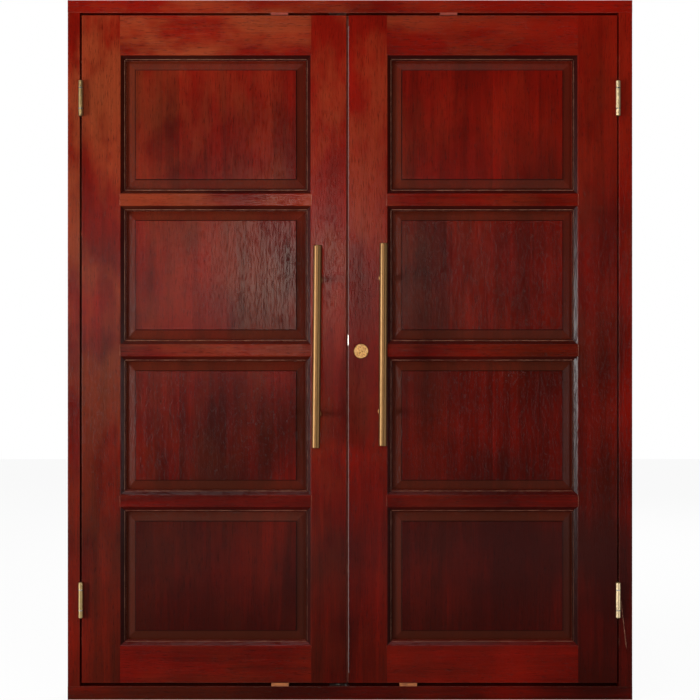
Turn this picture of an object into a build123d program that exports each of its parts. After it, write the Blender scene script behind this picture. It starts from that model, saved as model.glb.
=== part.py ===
# A pair of panelled hardwood doors in their frame, shut, with butt hinges, pull bars, a deadlock and
# flush bolts. Sizes are in millimetres. X runs to the right, Z runs up, and the leaves open towards -Y.
# The origin is the middle of the sill's underside.
from build123d import *
import math
import os

os.makedirs("parts", exist_ok=True)

# Frame
frame_w = 1694.0
frame_h = 2100.0
frame_depth = 96.0
head_face = 38.0
sill_face = 41.0
left_jamb_face = 36.5
right_jamb_face = 40.5
stop_w = 18.0  # the stops stand in behind the leaves by this much
frame_tenon_t = 24.0
frame_tenon_shoulder = 6.0
joint_play = 0.2  # round tenons, plates let into wood and the like

# Gaps round the leaves
left_gap = 5.5
right_gap = 4.0
top_gap = 8.0
bottom_gap = 10.0
meeting_gap = 6.3
leaf_setback = 1.0  # behind the face of the frame
leaf_seat_gap = 1.2  # between a leaf's back and the stops

# Leaves
leaf_t = 44.0
left_leaf_w = 794.5
left_hinge_stile = 115.0
left_meeting_stile = 106.0
right_meeting_stile = 115.0
right_hinge_stile = 118.0
top_rail_face = 118.0
bottom_rail_face = 111.0
cross_rail_face = 34.0
cross_rail_count = 3
leading_relief = 2.4  # the meeting edges lean back by this much, so that each leaf opens by itself
arris_r = 1.5
rail_tenon_t = 13.0
cross_tenon_l = 40.0
end_tenon_l = 60.0
tenon_inset = 2.0
haunch = 25.0

# Moulded edge: a splay from the arris, then a bead, then the groove for the panel
splay_w = 12.5
splay_d = 10.0
bead_w = 4.0
groove_w = 10.0
groove_d = 11.0

# Panels
panel_play = 1.5
tongue_play = 0.3
margin_w = 29.0
margin_rise = 8.3
field_step = 3.0
margin_gap = 0.4

# Repair piece let into the foot of the right jamb
repair_top = 300.0
repair_inset = 6.0
repair_foot = 5.0
repair_depth = 30.0
repair_proud = 0.4
repair_joint = 0.3

# Packers in the top and bottom gaps
packer_w = 52.0
packer_depth = 30.0
top_packer_t = 6.0
bottom_packer_t = 9.5
top_packer_x = (-212.0, 296.0)
bottom_packer_x = (-210.0, 175.0)
packer_ease = 0.8

# Fixing holes through the jambs, in the rebate behind the leaves' edges
fixing_hole_r = 5.0
fixing_head_r = 9.0
fixing_head_d = 6.0
fixing_end = 140.5  # from the sill or the head to the outer fixings
inner_fixing_span = 700.0
fixing_back = 23.0  # from the face of the frame

# Butt hinges: the frame plate lies on the jamb, and the leaf plate is let into the leaf
hinge_h = 102.0
hinge_end = 199.0  # from a leaf's end to the hinge
hinge_plate_t = 3.0
hinge_reach = 38.0  # from the pin's axis to a plate's edge
knuckle_r = 7.25
knuckle_count = 5
knuckle_play = 0.2
knuckle_face_gap = 0.4
bearing_t = 2.6
bearing_inset = 0.4
pin_r = 3.5
pin_play = 0.05
pin_head_r = 6.6
pin_head_t = 2.6
hinge_screw_rows = 3
hinge_screw_pitch = 34.0
hinge_screw_back = 24.0  # from the pin's axis
hinge_screw_stagger = 5.0

# Screws
screw_r = 2.2
screw_head_r = 4.4
screw_head_h = 2.4
screw_l = 30.0
screw_play = 0.1

# Pull bars
bar_l = 600.0
bar_r = 12.5
bar_off = 60.0  # from the leaf's face to the bar's axis
bar_end_round = 2.0
post_centres = 400.0
post_r = 9.0
post_rose_r = 14.0
post_rose_t = 4.0
pull_bolt_r = 4.0
pull_bolt_grip = 20.0
pull_cap_r = 14.0
pull_cap_t = 4.0
left_pull_in = 87.6  # from the meeting edge to the bar's middle
right_pull_in = 102.8
left_pull_z = 1060.0
right_pull_z = 1066.0
left_pull_lean = 0.57  # degrees off plumb, the top towards +X
right_pull_lean = 0.28

# Plates let into the meeting edges
edge_plate_w = 22.0
edge_plate_t = 3.0
edge_plate_sink = 0.1

# Deadlock and its cylinder
plug_z = 1054.5
backset = 37.5
profile_r = 8.5
profile_web_w = 10.0
profile_h = 33.0
profile_play = 0.3
plug_r = 6.5
plug_play = 0.05
cam_r = 15.0
cam_t = 9.0
cam_w = 8.0
cam_play = 0.4
key_slot_w = 2.2
key_slot_h = 9.0
key_slot_d = 22.0
cylinder_proud = 1.0
rose_r = 22.0
rose_t = 5.0
rose_edge = 1.5
rose_screw_out = 14.5
rose_screw_l = 16.0
case_below = 38.0
case_above = 57.0
case_depth = 66.0
case_t = 16.0
case_wall = 1.5
forend_h = 150.0
bolt_rise = 25.5  # from the plug's axis to the bolt's
bolt_h = 32.0
bolt_t = 12.0
bolt_head_l = 28.0
bolt_tail_l = 30.0
bolt_nose = 4.5  # stands out of the leaf's edge when drawn back
bolt_throw = 20.0
bolt_play = 0.4
tail_cam_gap = 1.0
strike_depth = 24.0
edge_screw_l = 16.0
edge_screw_end = 12.0

# Flush bolts in the left leaf's meeting edge
rod_r = 4.7
rod_in = 26.0
rod_play = 0.3
rod_l = 150.0
rod_start = 1.0
rod_travel = 20.0
flush_plate_h = 180.0
thumb_w = 7.0
thumb_h = 16.0
thumb_up = 110.0  # from the rod's tip to its thumb piece
thumb_proud = 1.0
channel_w = 15.0
channel_end = 22.0
keep_w = 24.0
keep_l = 50.0
keep_t = 2.5
keep_hole_play = 0.8
keep_hole_d = 22.0

# Brush seal in the left leaf's meeting edge
seal_back = 6.0  # from the leaf's face
seal_carrier_w = 5.0
seal_carrier_d = 5.0
seal_pile_t = 2.4
seal_end = 2.0
seal_tip_gap = 0.3

# Places that follow from the sizes above
front_y = -frame_depth / 2
rear_y = frame_depth / 2
face_y = front_y + leaf_setback
back_y = face_y + leaf_t
mid_y = face_y + leaf_t / 2
rebate_y = back_y + leaf_seat_gap
left_inner = -frame_w / 2 + left_jamb_face
right_inner = frame_w / 2 - right_jamb_face
head_z = frame_h - head_face
leaf_bottom = sill_face + bottom_gap
leaf_top = head_z - top_gap
leaf_h = leaf_top - leaf_bottom
moulding_w = splay_w + bead_w
rails_between = leaf_h - top_rail_face - bottom_rail_face
opening_h = (rails_between - cross_rail_count * cross_rail_face) / (cross_rail_count + 1)
fixing_z = sill_face + (head_z - sill_face) / 2
fixing_y = front_y + fixing_back
through = 2 * frame_depth  # longer than any cut through the thickness
from_face = (Align.CENTER, Align.CENTER, Align.MIN)  # grows from a face instead of from its middle
fixing_heights = [
    sill_face + fixing_end,
    fixing_z - inner_fixing_span / 2,
    fixing_z + inner_fixing_span / 2,
    head_z - fixing_end,
]
hinge_heights = (leaf_bottom + hinge_end + hinge_h / 2, leaf_top - hinge_end - hinge_h / 2)
hinge_axis_y = front_y - knuckle_face_gap - knuckle_r
rose_z = plug_z + profile_r - profile_h / 2
bolt_z = plug_z + bolt_rise
# An edge plate's face lies this far in, so that its far side is still inside the leaning edge
plate_in = leading_relief * (leaf_t / 2 + edge_plate_w / 2) / leaf_t + edge_plate_sink
seal_y = face_y + seal_back


class Leaf:
    """One leaf: which side it hangs on, and where its edges and stiles lie."""

    def __init__(self, name, side, hinge_edge, width, hinge_stile, meeting_stile):
        self.name = name
        self.side = side  # -1 hangs on the left jamb, 1 on the right
        self.hinge_edge = hinge_edge
        self.width = width
        self.hinge_stile = hinge_stile
        self.meeting_stile = meeting_stile
        self.opening_w = width - hinge_stile - meeting_stile
        self.meeting_edge = self.x(width)
        self.middle = self.x(hinge_stile + self.opening_w / 2)

    def x(self, inward):
        """X of a point this far in from the hinge edge."""
        return self.hinge_edge - self.side * inward

    def x_from_meeting(self, inward):
        """X of a point this far in from the meeting edge."""
        return self.meeting_edge + self.side * inward

    def meeting_x(self, y):
        """X of the leaning meeting edge at a depth y."""
        return self.x_from_meeting(leading_relief * (y - face_y) / leaf_t)


left_hinge_edge = left_inner + left_gap
right_hinge_edge = right_inner - right_gap
right_leaf_w = right_hinge_edge - left_hinge_edge - left_leaf_w - meeting_gap
left = Leaf("left", -1, left_hinge_edge, left_leaf_w, left_hinge_stile, left_meeting_stile)
right = Leaf("right", 1, right_hinge_edge, right_leaf_w, right_hinge_stile, right_meeting_stile)
leaves = (left, right)


def rail_span(number):
    """Low and high edge of a rail's flat face: 0 is the bottom rail, the last is the top rail."""
    if number == 0:
        return leaf_bottom, leaf_bottom + bottom_rail_face
    low = leaf_bottom + bottom_rail_face + number * opening_h + (number - 1) * cross_rail_face
    if number > cross_rail_count:
        return low, leaf_top
    return low, low + cross_rail_face


rail_names = ["bottom_rail"]
rail_names += [f"cross_rail_{cross_rail_count - number}" for number in range(cross_rail_count)]
rail_names += ["top_rail"]


def save(piece, label):
    """Label a finished piece and write its file."""
    piece.part.label = label
    export_step(piece.part, f"parts/{label}.step")


def front_outline(points):
    """A flat outline seen from the front, from (x, z) points."""
    with BuildSketch(Plane.XZ) as outline:
        with BuildLine():
            Polyline(*points, close=True)
        make_face()
    return outline.sketch


def cut_outline(points):
    """Cut an outline, seen from the front, through the whole thickness of the current piece."""
    extrude(front_outline(points), amount=through, both=True, mode=Mode.SUBTRACT)


def block(x_pair, y_pair, z_pair, mode=Mode.ADD):
    """A rectangular block between two corners, added to the current piece or cut from it."""
    size = [abs(pair[1] - pair[0]) for pair in (x_pair, y_pair, z_pair)]
    middle = [(pair[0] + pair[1]) / 2 for pair in (x_pair, y_pair, z_pair)]
    with Locations(tuple(middle)):
        Box(*size, mode=mode)


def moulded_edge(place):
    """Lines of a moulded inner edge, from the front arris round to the back arris.

    place turns a distance from the arris towards the panel, and a depth y, into a point.
    """
    front_foot = face_y + splay_d
    back_foot = back_y - splay_d
    groove_front = mid_y - groove_w / 2
    groove_back = mid_y + groove_w / 2
    bead_top = splay_w + bead_w / 2
    groove_floor = moulding_w - groove_d
    Line(place(0, face_y), place(splay_w, front_foot))
    ThreePointArc(
        place(splay_w, front_foot), place(bead_top, front_foot - bead_w / 2), place(moulding_w, front_foot)
    )
    Polyline(
        place(moulding_w, front_foot),
        place(moulding_w, groove_front),
        place(groove_floor, groove_front),
        place(groove_floor, groove_back),
        place(moulding_w, groove_back),
        place(moulding_w, back_foot),
    )
    ThreePointArc(
        place(moulding_w, back_foot), place(bead_top, back_foot + bead_w / 2), place(splay_w, back_foot)
    )
    Line(place(splay_w, back_foot), place(0, back_y))


# Frame: head and sill run right across, and the jambs are tenoned between them
def jamb_tenon_x(side):
    """The two sides of a jamb's tenon."""
    outer = side * frame_w / 2
    inner = left_inner if side < 0 else right_inner
    return outer - side * frame_tenon_shoulder, inner + side * frame_tenon_shoulder


def cross_member(z_outer, z_face, z_stop, label):
    """The head or the sill, from its outer face, its face towards the leaves and its stop's edge."""
    with BuildPart() as member:
        with BuildSketch(Plane.YZ.offset(-frame_w / 2)) as body_section:
            with BuildLine():
                Polyline(
                    (front_y, z_outer), (front_y, z_face), (rear_y, z_face), (rear_y, z_outer), close=True
                )
            make_face()
            fillet(body_section.vertices().sort_by(Axis.X)[:2], radius=arris_r)
        extrude(amount=frame_w)
        block((left_inner, right_inner), (rebate_y, rear_y), (z_face, z_stop))
        for side in (-1, 1):
            tenon = sorted(jamb_tenon_x(side))
            slot_x = (tenon[0] - joint_play, tenon[1] + joint_play)
            slot_y = (-frame_tenon_t / 2 - joint_play, frame_tenon_t / 2 + joint_play)
            block(slot_x, slot_y, (z_outer, z_face), Mode.SUBTRACT)
        flush_bolt_holes(z_face, z_outer)
    save(member, label)


repair_points = [
    (right_inner + repair_inset, repair_top),
    (frame_w / 2, repair_top),
    (frame_w / 2, sill_face),
    (frame_w / 2 - repair_foot, sill_face),
]


def jamb(leaf, label):
    """A jamb with its stop, its tenons, its fixing holes and the holes for its hinge screws."""
    side = leaf.side
    inner = jamb_face(leaf)
    outer = side * frame_w / 2
    with BuildPart() as post:
        with BuildSketch(Plane.XY.offset(sill_face)) as post_section:
            with BuildLine():
                Polyline((outer, front_y), (inner, front_y), (inner, rear_y), (outer, rear_y), close=True)
            make_face()
            fillet(post_section.vertices().sort_by(Axis.Y)[:2], radius=arris_r)
        extrude(amount=head_z - sill_face)
        stop_z = (sill_face + stop_w, head_z - stop_w)
        block((inner, inner - side * stop_w), (rebate_y, rear_y), stop_z)
        tenon_y = (-frame_tenon_t / 2, frame_tenon_t / 2)
        block(jamb_tenon_x(side), tenon_y, (head_z, frame_h - joint_play))
        block(jamb_tenon_x(side), tenon_y, (joint_play, sill_face))
        jamb_holes(leaf)
        if side > 0:
            cut_wedge(repair_points, (front_y - 1, front_y + repair_depth))
    save(post, label)


def jamb_holes(leaf):
    """Fixing holes and hinge-screw holes, cut from a jamb or from the piece let into it."""
    for z in fixing_heights:
        with Locations((leaf.side * frame_w / 2, fixing_y, z)):
            Cylinder(fixing_hole_r, through, rotation=(0, 90, 0), mode=Mode.SUBTRACT)
        with Locations((jamb_face(leaf), fixing_y, z)):
            Cylinder(fixing_head_r, 2 * fixing_head_d, rotation=(0, 90, 0), mode=Mode.SUBTRACT)
    cut_screws(hinge_screw_places(leaf, True))


def cut_wedge(points, y_pair):
    """Cut an outline, seen from the front, between two depths."""
    wedge = extrude(front_outline(points), amount=through, both=True, mode=Mode.PRIVATE)
    slab = Pos(0, (y_pair[0] + y_pair[1]) / 2, 0) * Box(
        2 * frame_w, y_pair[1] - y_pair[0], 3 * frame_h, mode=Mode.PRIVATE
    )
    add(wedge & slab, mode=Mode.SUBTRACT)


def keep_block(z_face, way):
    """Height range of a keep plate let into the face of the head (way 1) or the sill (way -1)."""
    return z_face, z_face + way * keep_t


rod_x = left.x_from_meeting(rod_in)
keep_hole_r = rod_r + keep_hole_play


def flush_bolt_holes(z_face, z_outer):
    """Recess for a keep and the hole behind it, cut from the head or the sill."""
    way = math.copysign(1, z_outer - z_face)
    keep_x = grown((rod_x - keep_l / 2, rod_x + keep_l / 2), joint_play)
    keep_y = grown((mid_y - keep_w / 2, mid_y + keep_w / 2), joint_play)
    block(keep_x, keep_y, keep_block(z_face, way), Mode.SUBTRACT)
    with Locations((rod_x, mid_y, z_face + way * keep_hole_d / 2)):
        Cylinder(keep_hole_r, keep_hole_d, mode=Mode.SUBTRACT)


def screw_shape(length, play=0.0, mode=Mode.ADD):
    """A countersunk screw, its head's face at the origin and its shank along +Z of each location."""
    Cone(screw_head_r + play, screw_r + play, screw_head_h, align=from_face, mode=mode)
    Cylinder(screw_r + play, length + play, align=from_face, mode=mode)


def screw_group(planes_and_lengths, label):
    """Separate screws that share one node."""
    with BuildPart() as screws:
        for plane, length in planes_and_lengths:
            with Locations(plane):
                screw_shape(length)
    save(screws, label)


def cut_screws(planes_and_lengths):
    """Holes for screws in the current piece."""
    for plane, length in planes_and_lengths:
        with Locations(plane):
            screw_shape(length, screw_play, Mode.SUBTRACT)


# Hinge places
def plate_gap(leaf):
    """The gap between a shut hinge's plates."""
    return abs(leaf.hinge_edge - jamb_face(leaf)) - hinge_plate_t


def jamb_face(leaf):
    """X of the jamb's face beside a leaf."""
    return left_inner if leaf.side < 0 else right_inner


def hinge_axis_x(leaf):
    """X of a hinge's pin, midway between its plates."""
    return leaf.hinge_edge + leaf.side * plate_gap(leaf) / 2


def hinge_screw_places(leaf, on_frame):
    """Planes of the screws in one side of a leaf's hinges, each pointing into the wood."""
    into = leaf.side if on_frame else -leaf.side
    start = leaf.hinge_edge if not on_frame else jamb_face(leaf) - leaf.side * hinge_plate_t
    places = []
    for z in hinge_heights:
        for row in range(hinge_screw_rows):
            offset = row - (hinge_screw_rows - 1) / 2
            stagger = hinge_screw_stagger * (1 if row % 2 else -1)
            y = hinge_axis_y + hinge_screw_back + stagger
            spot = (start, y, z + offset * hinge_screw_pitch)
            places.append((Plane(spot, x_dir=(0, 1, 0), z_dir=(into, 0, 0)), screw_l))
    return places


def hinge_recesses(leaf):
    """Recesses for the leaf plates, cut from the hinge stile."""
    deep = (leaf.x(-1), leaf.x(hinge_plate_t))
    reach_y = (face_y - 1, hinge_axis_y + hinge_reach + joint_play)
    for z in hinge_heights:
        half = hinge_h / 2 + joint_play
        block(deep, reach_y, (z - half, z + half), Mode.SUBTRACT)
    cut_screws(hinge_screw_places(leaf, False))


# Plates let into the meeting edges: forend, strike and flush-bolt plates
strike_mid_z = plug_z + (case_above - case_below) / 2
flush_mids = (leaf_top - flush_plate_h / 2, leaf_bottom + flush_plate_h / 2)


def edge_plate_x(leaf):
    """Outer and inner face of a plate let into a leaf's meeting edge."""
    return leaf.x_from_meeting(plate_in), leaf.x_from_meeting(plate_in + edge_plate_t)


def edge_recess(leaf, mid_z, height):
    """Recess for an edge plate, open at the meeting edge."""
    half_w = edge_plate_w / 2 + joint_play
    half_h = height / 2 + joint_play
    depth = (leaf.x_from_meeting(-1), leaf.x_from_meeting(plate_in + edge_plate_t))
    block(depth, (mid_y - half_w, mid_y + half_w), (mid_z - half_h, mid_z + half_h), Mode.SUBTRACT)


def edge_screw_places(leaf, mid_z, height):
    """Planes of the two screws at the ends of an edge plate."""
    face = edge_plate_x(leaf)[0]
    reach = height / 2 - edge_screw_end
    spots = [(face, mid_y, mid_z + way * reach) for way in (-1, 1)]
    return [(Plane(spot, x_dir=(0, 1, 0), z_dir=(leaf.side, 0, 0)), edge_screw_l) for spot in spots]


def pull_data(leaf):
    """Middle and lean of a leaf's pull bar."""
    if leaf.side < 0:
        return leaf.x_from_meeting(left_pull_in), left_pull_z, math.radians(left_pull_lean)
    return leaf.x_from_meeting(right_pull_in), right_pull_z, math.radians(right_pull_lean)


def post_spots(leaf):
    """X and Z of a pull bar's two posts."""
    x, z, lean = pull_data(leaf)
    half = post_centres / 2
    return [(x + way * half * math.sin(lean), z + way * half * math.cos(lean)) for way in (-1, 1)]


def upright(x, y, z):
    """A plane whose normal points to the back, for round things that run through the leaf."""
    return Plane((x, y, z), x_dir=(1, 0, 0), z_dir=(0, 1, 0))


def cut_round(radius, x, z, y_pair, mode=Mode.SUBTRACT):
    """A round bar or hole that runs from front to back."""
    with Locations(upright(x, y_pair[0], z)):
        Cylinder(radius, y_pair[1] - y_pair[0], align=from_face, mode=mode)


def profile_outline(play=0.0):
    """The cylinder's keyhole-shaped outline, seen from the front."""
    foot_r = profile_web_w / 2
    foot_z = plug_z + profile_r - profile_h + foot_r
    with BuildSketch(Plane.XZ) as outline:
        with Locations((lock_x, plug_z)):
            Circle(profile_r + play)
        with Locations((lock_x, (plug_z + foot_z) / 2)):
            Rectangle(profile_web_w + 2 * play, plug_z - foot_z)
        with Locations((lock_x, foot_z)):
            Circle(foot_r + play)
    return outline.sketch


lock_x = right.x_from_meeting(backset)
case_x = (edge_plate_x(right)[1], edge_plate_x(right)[1] + case_depth)
case_y = (mid_y - case_t / 2, mid_y + case_t / 2)
case_z = (plug_z - case_below, plug_z + case_above)


def grown(pair, amount):
    """A low and high pair moved apart by an amount."""
    return min(pair) - amount, max(pair) + amount


def rose_screw_places():
    """Planes of the screws through the roses, into the front and the back of the stile."""
    places = []
    for start, into in ((face_y - rose_t, 1), (back_y + rose_t, -1)):
        for way in (-1, 1):
            spot = (lock_x + way * rose_screw_out, start, rose_z)
            places.append((Plane(spot, x_dir=(1, 0, 0), z_dir=(0, into, 0)), rose_screw_l))
    return places


def lock_cuts():
    """Everything cut from the right meeting stile for the lock."""
    edge_recess(right, strike_mid_z, forend_h)
    block(grown(case_x, joint_play), grown(case_y, joint_play), grown(case_z, joint_play), Mode.SUBTRACT)
    cut_screws(edge_screw_places(right, strike_mid_z, forend_h))
    extrude(profile_outline(profile_play), amount=through, both=True, mode=Mode.SUBTRACT)
    cut_screws(rose_screw_places())


bolt_y = (mid_y - bolt_t / 2, mid_y + bolt_t / 2)
bolt_z_pair = (bolt_z - bolt_h / 2, bolt_z + bolt_h / 2)
rod_y = (mid_y - channel_w / 2, mid_y + channel_w / 2)


def channel_z(way):
    """Height range of a flush bolt's channel: way 1 at the top of the leaf, -1 at its foot."""
    end = leaf_top if way > 0 else leaf_bottom
    return end - way * channel_end, end - way * (flush_plate_h - channel_end)


def left_edge_cuts():
    """Everything cut from the left meeting stile: strike, flush bolts and seal."""
    edge_recess(left, strike_mid_z, forend_h)
    pocket = (left.x_from_meeting(0), left.x_from_meeting(strike_depth))
    block(pocket, grown(bolt_y, bolt_play), grown(bolt_z_pair, bolt_play), Mode.SUBTRACT)
    cut_screws(edge_screw_places(left, strike_mid_z, forend_h))
    for way, mid_z in zip((1, -1), flush_mids):
        edge_recess(left, mid_z, flush_plate_h)
        depth = (left.x_from_meeting(0), left.x_from_meeting(rod_in + channel_w / 2))
        block(depth, rod_y, channel_z(way), Mode.SUBTRACT)
        end = leaf_top if way > 0 else leaf_bottom
        with Locations((rod_x, mid_y, end - way * channel_end / 2)):
            Cylinder(rod_r + rod_play, channel_end + 2, mode=Mode.SUBTRACT)
        cut_screws(edge_screw_places(left, mid_z, flush_plate_h))
    groove = (left.x_from_meeting(-1), left.x_from_meeting(seal_carrier_d + joint_play))
    half = seal_carrier_w / 2 + joint_play
    block(groove, (seal_y - half, seal_y + half), (leaf_bottom, leaf_top), Mode.SUBTRACT)


# Leaves
def face_corners(section, axis):
    """Corners of a section that lie in the leaf's front or back face, given the axis across it."""
    spots = section.vertices()
    return spots.filter_by_position(axis, face_y, face_y) + spots.filter_by_position(axis, back_y, back_y)


def stile(leaf, arris, outer_edge, label, own_cuts):
    """A stile, from its arris, its outer edge at the front and back, and what is cut from it."""
    inward = math.copysign(1, leaf.middle - arris)
    with BuildPart() as post:
        with BuildSketch(Plane.XY.offset(leaf_bottom)) as section:
            with BuildLine():
                moulded_edge(lambda out, y: (arris + inward * out, y))
                Polyline((arris, face_y), (outer_edge[0], face_y), (outer_edge[1], back_y), (arris, back_y))
            make_face()
            fillet(face_corners(section, Axis.Y), radius=arris_r)
        extrude(amount=leaf_h)
        tip = moulding_w + 1
        for number in range(cross_rail_count + 2):
            low, high = rail_span(number)
            low_tip = low - tip if number else low - 1
            high_tip = high + tip if number <= cross_rail_count else high + 1
            low_start = low if number else low - 1
            high_start = high if number <= cross_rail_count else high + 1
            edge = arris + inward * tip
            cut_outline([(arris, low_start), (edge, low_tip), (edge, high_tip), (arris, high_start)])
            pair, length = rail_tenon(number)
            depth = (arris + inward, arris - inward * (length + joint_play))
            half = rail_tenon_t / 2 + joint_play
            block(depth, (mid_y - half, mid_y + half), grown(pair, joint_play), Mode.SUBTRACT)
        own_cuts()
    save(post, label)


def rail_tenon(number):
    """Height range and length of a rail's tenons."""
    low, high = rail_span(number)
    if number == 0:
        return (low + haunch, high - tenon_inset), end_tenon_l
    if number > cross_rail_count:
        return (low + tenon_inset, high - haunch), end_tenon_l
    return (low + tenon_inset, high - tenon_inset), cross_tenon_l


def rail(leaf, number):
    """A rail between the stiles, mitred where its moulding meets theirs."""
    low, high = rail_span(number)
    ends = sorted((leaf.x(leaf.hinge_stile), leaf.x(leaf.width - leaf.meeting_stile)))
    moulded_low = number > 0
    moulded_high = number <= cross_rail_count
    with BuildPart() as bar:
        with BuildSketch(Plane.YZ.offset(ends[0])) as section:
            with BuildLine():
                if moulded_low:
                    moulded_edge(lambda out, y: (y, low - out))
                else:
                    Line((face_y, low), (back_y, low))
                if moulded_high:
                    moulded_edge(lambda out, y: (y, high + out))
                else:
                    Line((face_y, high), (back_y, high))
                Line((face_y, low), (face_y, high))
                Line((back_y, low), (back_y, high))
            make_face()
            fillet(face_corners(section, Axis.X), radius=arris_r)
        extrude(amount=leaf.opening_w)
        tip = moulding_w + 1
        for end, inward in zip(ends, (1, -1)):
            if moulded_low:
                cut_outline([(end, low), (end, low - tip), (end + inward * tip, low - tip)])
            if moulded_high:
                cut_outline([(end, high), (end, high + tip), (end + inward * tip, high + tip)])
            pair, length = rail_tenon(number)
            block((end, end - inward * length), (mid_y - rail_tenon_t / 2, mid_y + rail_tenon_t / 2), pair)
    save(bar, f"{leaf.name}_{rail_names[number]}")


def panel(leaf, number):
    """A raised and fielded panel above rail number, held in the grooves."""
    low = rail_span(number)[1]
    middle = (leaf.middle, low + opening_h / 2)
    tongue_t = groove_w - 2 * tongue_play
    visible = (leaf.opening_w - 2 * moulding_w, opening_h - 2 * moulding_w)
    slab = [size + 2 * (groove_d - panel_play) for size in visible]
    foot = [size - 2 * margin_gap for size in visible]
    field = [size - 2 * margin_w for size in foot]
    with BuildPart() as board:
        with Locations((middle[0], mid_y, middle[1])):
            Box(slab[0], tongue_t, slab[1])
        for way in (-1, 1):
            foot_y = mid_y + way * tongue_t / 2
            step_y = foot_y + way * margin_rise
            with BuildSketch(Plane.XZ.offset(-foot_y)):
                with Locations(middle):
                    Rectangle(*foot)
            with BuildSketch(Plane.XZ.offset(-step_y)):
                with Locations(middle):
                    Rectangle(*field)
            loft()
            with Locations((middle[0], step_y + way * field_step / 2, middle[1])):
                Box(field[0], field_step, field[1])
    save(board, f"{leaf.name}_panel_{cross_rail_count + 1 - number}")


def build_leaf_wood(leaf):
    """A leaf's stiles, rails and panels."""
    hinge_arris = leaf.x(leaf.hinge_stile)
    meeting_arris = leaf.x(leaf.width - leaf.meeting_stile)

    def meeting_cuts():
        if leaf.side < 0:
            left_edge_cuts()
        else:
            lock_cuts()
        for x, z in post_spots(leaf):
            cut_round(pull_bolt_r + joint_play, x, z, (face_y - 1, back_y + 1))

    def hinge_cuts():
        hinge_recesses(leaf)

    hinge_edges = (leaf.hinge_edge, leaf.hinge_edge)
    meeting_edges = (leaf.meeting_edge, leaf.meeting_x(back_y))
    stile(leaf, hinge_arris, hinge_edges, f"{leaf.name}_hinge_stile", hinge_cuts)
    stile(leaf, meeting_arris, meeting_edges, f"{leaf.name}_meeting_stile", meeting_cuts)
    for number in range(cross_rail_count + 2):
        rail(leaf, number)
    for number in range(cross_rail_count + 1):
        panel(leaf, number)


cross_member(frame_h, head_z, head_z - stop_w, "head")
cross_member(0.0, sill_face, sill_face + stop_w, "sill")
jamb(left, "left_jamb")
jamb(right, "right_jamb")

with BuildPart() as jamb_repair:
    with BuildSketch(Plane.XZ.offset(-front_y + repair_proud)):
        with BuildLine():
            Polyline(*repair_points, close=True)
        make_face()
        offset(amount=-repair_joint, kind=Kind.INTERSECTION)
    extrude(amount=-(repair_depth + repair_proud - repair_joint))
    jamb_holes(right)
save(jamb_repair, "jamb_repair")

with BuildPart() as packers:
    packer_y = (front_y + packer_ease, front_y + packer_ease + packer_depth)
    for x in top_packer_x:
        block((x - packer_w / 2, x + packer_w / 2), packer_y, (head_z - top_packer_t, head_z))
    for x in bottom_packer_x:
        block((x - packer_w / 2, x + packer_w / 2), packer_y, (sill_face, sill_face + bottom_packer_t))
    chamfer(packers.edges().filter_by(Axis.Y), length=packer_ease)
save(packers, "packers")

with BuildPart() as keeps:
    for z_face, way in ((head_z, 1), (sill_face, -1)):
        with Locations((rod_x, mid_y, z_face + way * keep_t / 2)):
            Box(keep_l, keep_w, keep_t)
            Cylinder(keep_hole_r, 2 * keep_t, mode=Mode.SUBTRACT)
save(keeps, "flush_bolt_keeps")

for each_leaf in leaves:
    build_leaf_wood(each_leaf)


# Hinges
def boundary_gap(number):
    """Half the space between two knuckles: a bearing at the outer two joints, a small play at the rest."""
    if number in (0, knuckle_count):
        return 0.0
    if number in (1, knuckle_count - 1):
        return bearing_t / 2 + knuckle_play / 2
    return knuckle_play / 2


def knuckle_span(mid_z, number):
    """Low and high end of one knuckle."""
    low = mid_z - hinge_h / 2 + number * hinge_h / knuckle_count
    return low + boundary_gap(number), low + hinge_h / knuckle_count - boundary_gap(number + 1)


def hinge_plate(leaf, mid_z, on_frame, label):
    """One plate of a hinge with its knuckles: the frame's has the odd ones, counted from the foot."""
    axis_x = hinge_axis_x(leaf)
    near = leaf.side * plate_gap(leaf) / 2 * (1 if on_frame else -1)
    far = near + math.copysign(hinge_plate_t, near)
    own = range(0 if on_frame else 1, knuckle_count, 2)
    others = range(1 if on_frame else 0, knuckle_count, 2)
    clear_r = knuckle_r + knuckle_face_gap
    with BuildPart() as plate:
        block(
            (axis_x + near, axis_x + far),
            (hinge_axis_y, hinge_axis_y + hinge_reach),
            (mid_z - hinge_h / 2, mid_z + hinge_h / 2),
        )
        for number in others:
            low, high = knuckle_span(mid_z, number)
            low -= 2 * boundary_gap(number)
            high += 2 * boundary_gap(number + 1)
            block(
                (axis_x - clear_r, axis_x + clear_r), (hinge_axis_y - clear_r, hinge_axis_y + clear_r),
                (low, high), Mode.SUBTRACT,
            )
        for number in own:
            low, high = knuckle_span(mid_z, number)
            with Locations((axis_x, hinge_axis_y, (low + high) / 2)):
                Cylinder(knuckle_r, high - low)
        with Locations((axis_x, hinge_axis_y, mid_z)):
            Cylinder(pin_r + pin_play, hinge_h + 2, mode=Mode.SUBTRACT)
        cut_screws(hinge_screw_places(leaf, on_frame))
    save(plate, label)


for each_leaf in leaves:
    for height_name, mid_z in zip(("lower", "upper"), hinge_heights):
        hinge_plate(each_leaf, mid_z, True, f"{each_leaf.name}_{height_name}_hinge_frame_plate")
        hinge_plate(each_leaf, mid_z, False, f"{each_leaf.name}_{height_name}_hinge_leaf_plate")

screw_group(hinge_screw_places(left, True) + hinge_screw_places(right, True), "frame_hinge_screws")
hinge_spots = [(hinge_axis_x(each_leaf), hinge_axis_y, z) for each_leaf in leaves for z in hinge_heights]

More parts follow.
